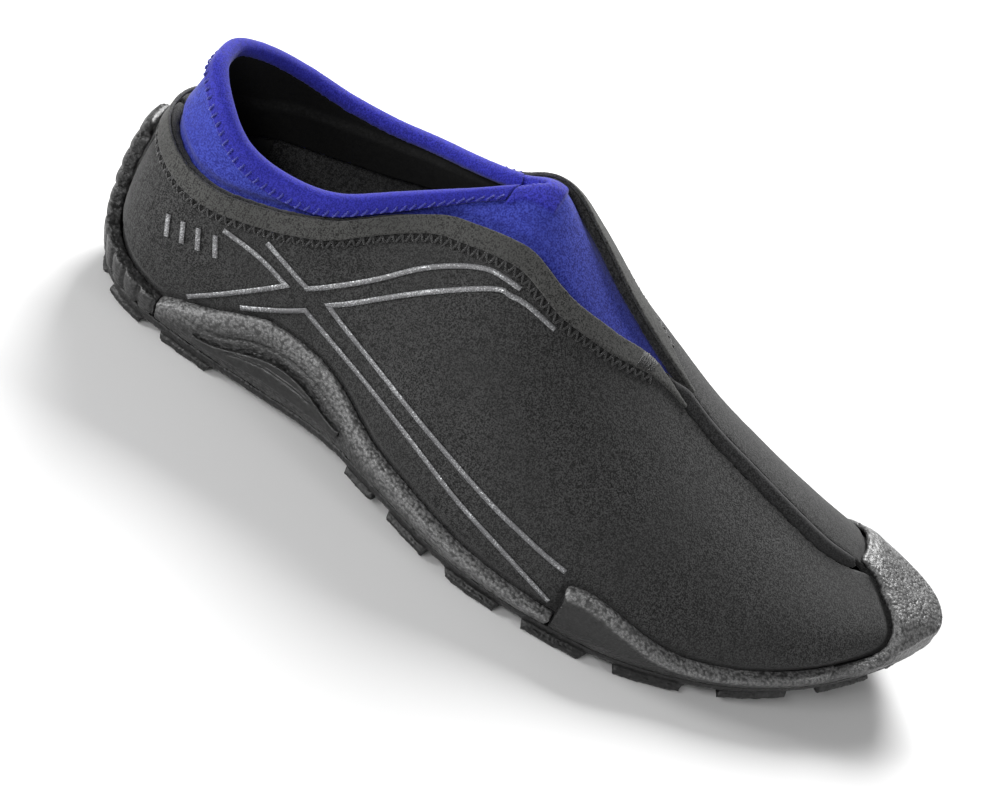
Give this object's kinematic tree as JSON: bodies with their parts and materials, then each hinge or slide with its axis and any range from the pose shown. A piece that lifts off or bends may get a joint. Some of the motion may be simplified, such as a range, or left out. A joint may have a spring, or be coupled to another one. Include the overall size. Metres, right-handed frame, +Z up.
{
  "type": "neoprene water shoe",
  "caption": "Low slip-on neoprene water shoe for the right foot, with a knit collar, rubber toe and heel rands and a lugged sole.",
  "frame": {"origin": "bottom centre of the shoe's bounding box, on the ground under the lugs", "axes": "+Z up from the ground, +X from heel to toe, +Y towards the inner side of the foot"},
  "size_m": [0.2823, 0.1042, 0.1],
  "materials": {
    "rubber_dark": "satin",
    "rubber_insert": "satin",
    "eva_foam": "matte",
    "board_fleece": "matte",
    "lining_black": "matte",
    "neoprene_charcoal": "matte",
    "stiffener": "matte",
    "knit_blue": "matte",
    "binding_blue": "matte",
    "hem_black": "matte",
    "thread_black": "matte",
    "thread_blue": "matte",
    "print_silver": "satin"
  },
  "bodies": {
    "root": {"outsole": "rubber_dark", "midsole": "eva_foam", "strobel_board": "board_fleece", "footbed_foam": "eva_foam", "footbed_cover": "lining_black", "toe_rand": "rubber_dark", "midfoot_rand_lateral": "rubber_dark", "midfoot_rand_medial": "rubber_dark", "heel_bumper": "rubber_dark", "shank_insert_lateral": "rubber_insert", "shank_insert_medial": "rubber_insert", "upper_lateral": "neoprene_charcoal", "upper_medial": "neoprene_charcoal", "heel_counter": "stiffener", "toe_puff": "stiffener", "collar": "knit_blue", "collar_binding": "binding_blue", "collar_lining": "lining_black", "topline_hem": "hem_black", "vamp_welt": "hem_black", "hem_stitching": "thread_black", "binding_stitching": "thread_blue", "throat_bartack": "thread_black", "stripes_lateral": "print_silver", "stripes_medial": "print_silver", "heel_mark": "print_silver"}
  },
  "joints": []
}
